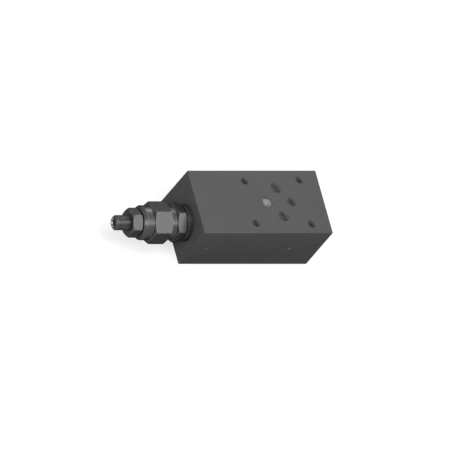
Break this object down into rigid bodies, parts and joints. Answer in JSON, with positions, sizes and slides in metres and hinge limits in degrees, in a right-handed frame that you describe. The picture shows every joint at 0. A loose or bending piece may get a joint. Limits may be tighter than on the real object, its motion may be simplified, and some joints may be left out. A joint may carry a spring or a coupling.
{
  "type": "hydraulic sandwich valve",
  "caption": "Ported steel block with a screw-in relief cartridge, clamped between a subplate and a directional valve to limit the pressure in port A by opening it to port T.",
  "frame": {"origin": "on the subplate face, where the line through ports P and T crosses the line through ports A and B", "axes": "+X along the block away from the relief cartridge, -Y towards the front face, +Z towards the valve on top"},
  "size_m": [0.146, 0.046, 0.04],
  "materials": {
    "block_steel": "machined and phosphated, dark grey",
    "cartridge_steel": "turned and phosphated, dark grey",
    "hard_steel": "hardened and ground",
    "spring_steel": "drawn wire, lightly oiled",
    "seal_rubber": "moulded nitrile, satin",
    "backup_plastic": "turned fluoropolymer, matte"
  },
  "bodies": {
    "housing": {"valve_block": "block_steel", "cartridge_body": "cartridge_steel", "valve_seat": "hard_steel", "spring_cap": "cartridge_steel", "passage_plug": "cartridge_steel", "pressure_spring": "spring_steel", "nose_o_ring": "seal_rubber", "nose_backup_ring": "backup_plastic", "flange_o_ring": "seal_rubber", "cap_o_ring": "seal_rubber", "port_o_ring_p": "seal_rubber", "port_o_ring_t": "seal_rubber", "port_o_ring_a": "seal_rubber", "port_o_ring_b": "seal_rubber"},
    "poppet": {"poppet": "hard_steel"},
    "spring_plate": {"spring_plate": "hard_steel"},
    "adjusting_screw": {"adjusting_screw": "cartridge_steel", "screw_o_ring": "seal_rubber", "screw_backup_ring": "backup_plastic"},
    "nut_seal": {"lock_nut_seal": "seal_rubber"},
    "lock_nut": {"lock_nut": "cartridge_steel"}
  },
  "joints": [
    {"name": "poppet_lift", "type": "slide", "parent": "housing", "child": "poppet", "axis": [-1, 0, 0], "range_m": [0, 0.0012], "stiffness_N_per_m": 20000, "deforming": ["pressure_spring"]},
    {"name": "screw_travel", "type": "slide", "parent": "housing", "child": "spring_plate", "axis": [1, 0, 0], "range_m": [-0.001, 0.003], "deforming": ["pressure_spring"]},
    {"name": "screw_turn", "type": "hinge", "parent": "spring_plate", "child": "adjusting_screw", "pos_m": [-0.0865, -0.004, 0.02], "axis": [1, 0, 0], "range_deg": [-360, 1080]},
    {"name": "lock_nut_travel", "type": "slide", "parent": "housing", "child": "nut_seal", "axis": [1, 0, 0], "range_m": [-0.003, 0]},
    {"name": "lock_nut_turn", "type": "hinge", "parent": "nut_seal", "child": "lock_nut", "pos_m": [-0.1, -0.004, 0.02], "axis": [1, 0, 0], "range_deg": [-1080, 0]}
  ],
  "couplings": [
    {"joint": "screw_turn", "follows": "screw_travel", "rad_per_m": 6283.2},
    {"joint": "lock_nut_turn", "follows": "lock_nut_travel", "rad_per_m": 6283.2}
  ]
}
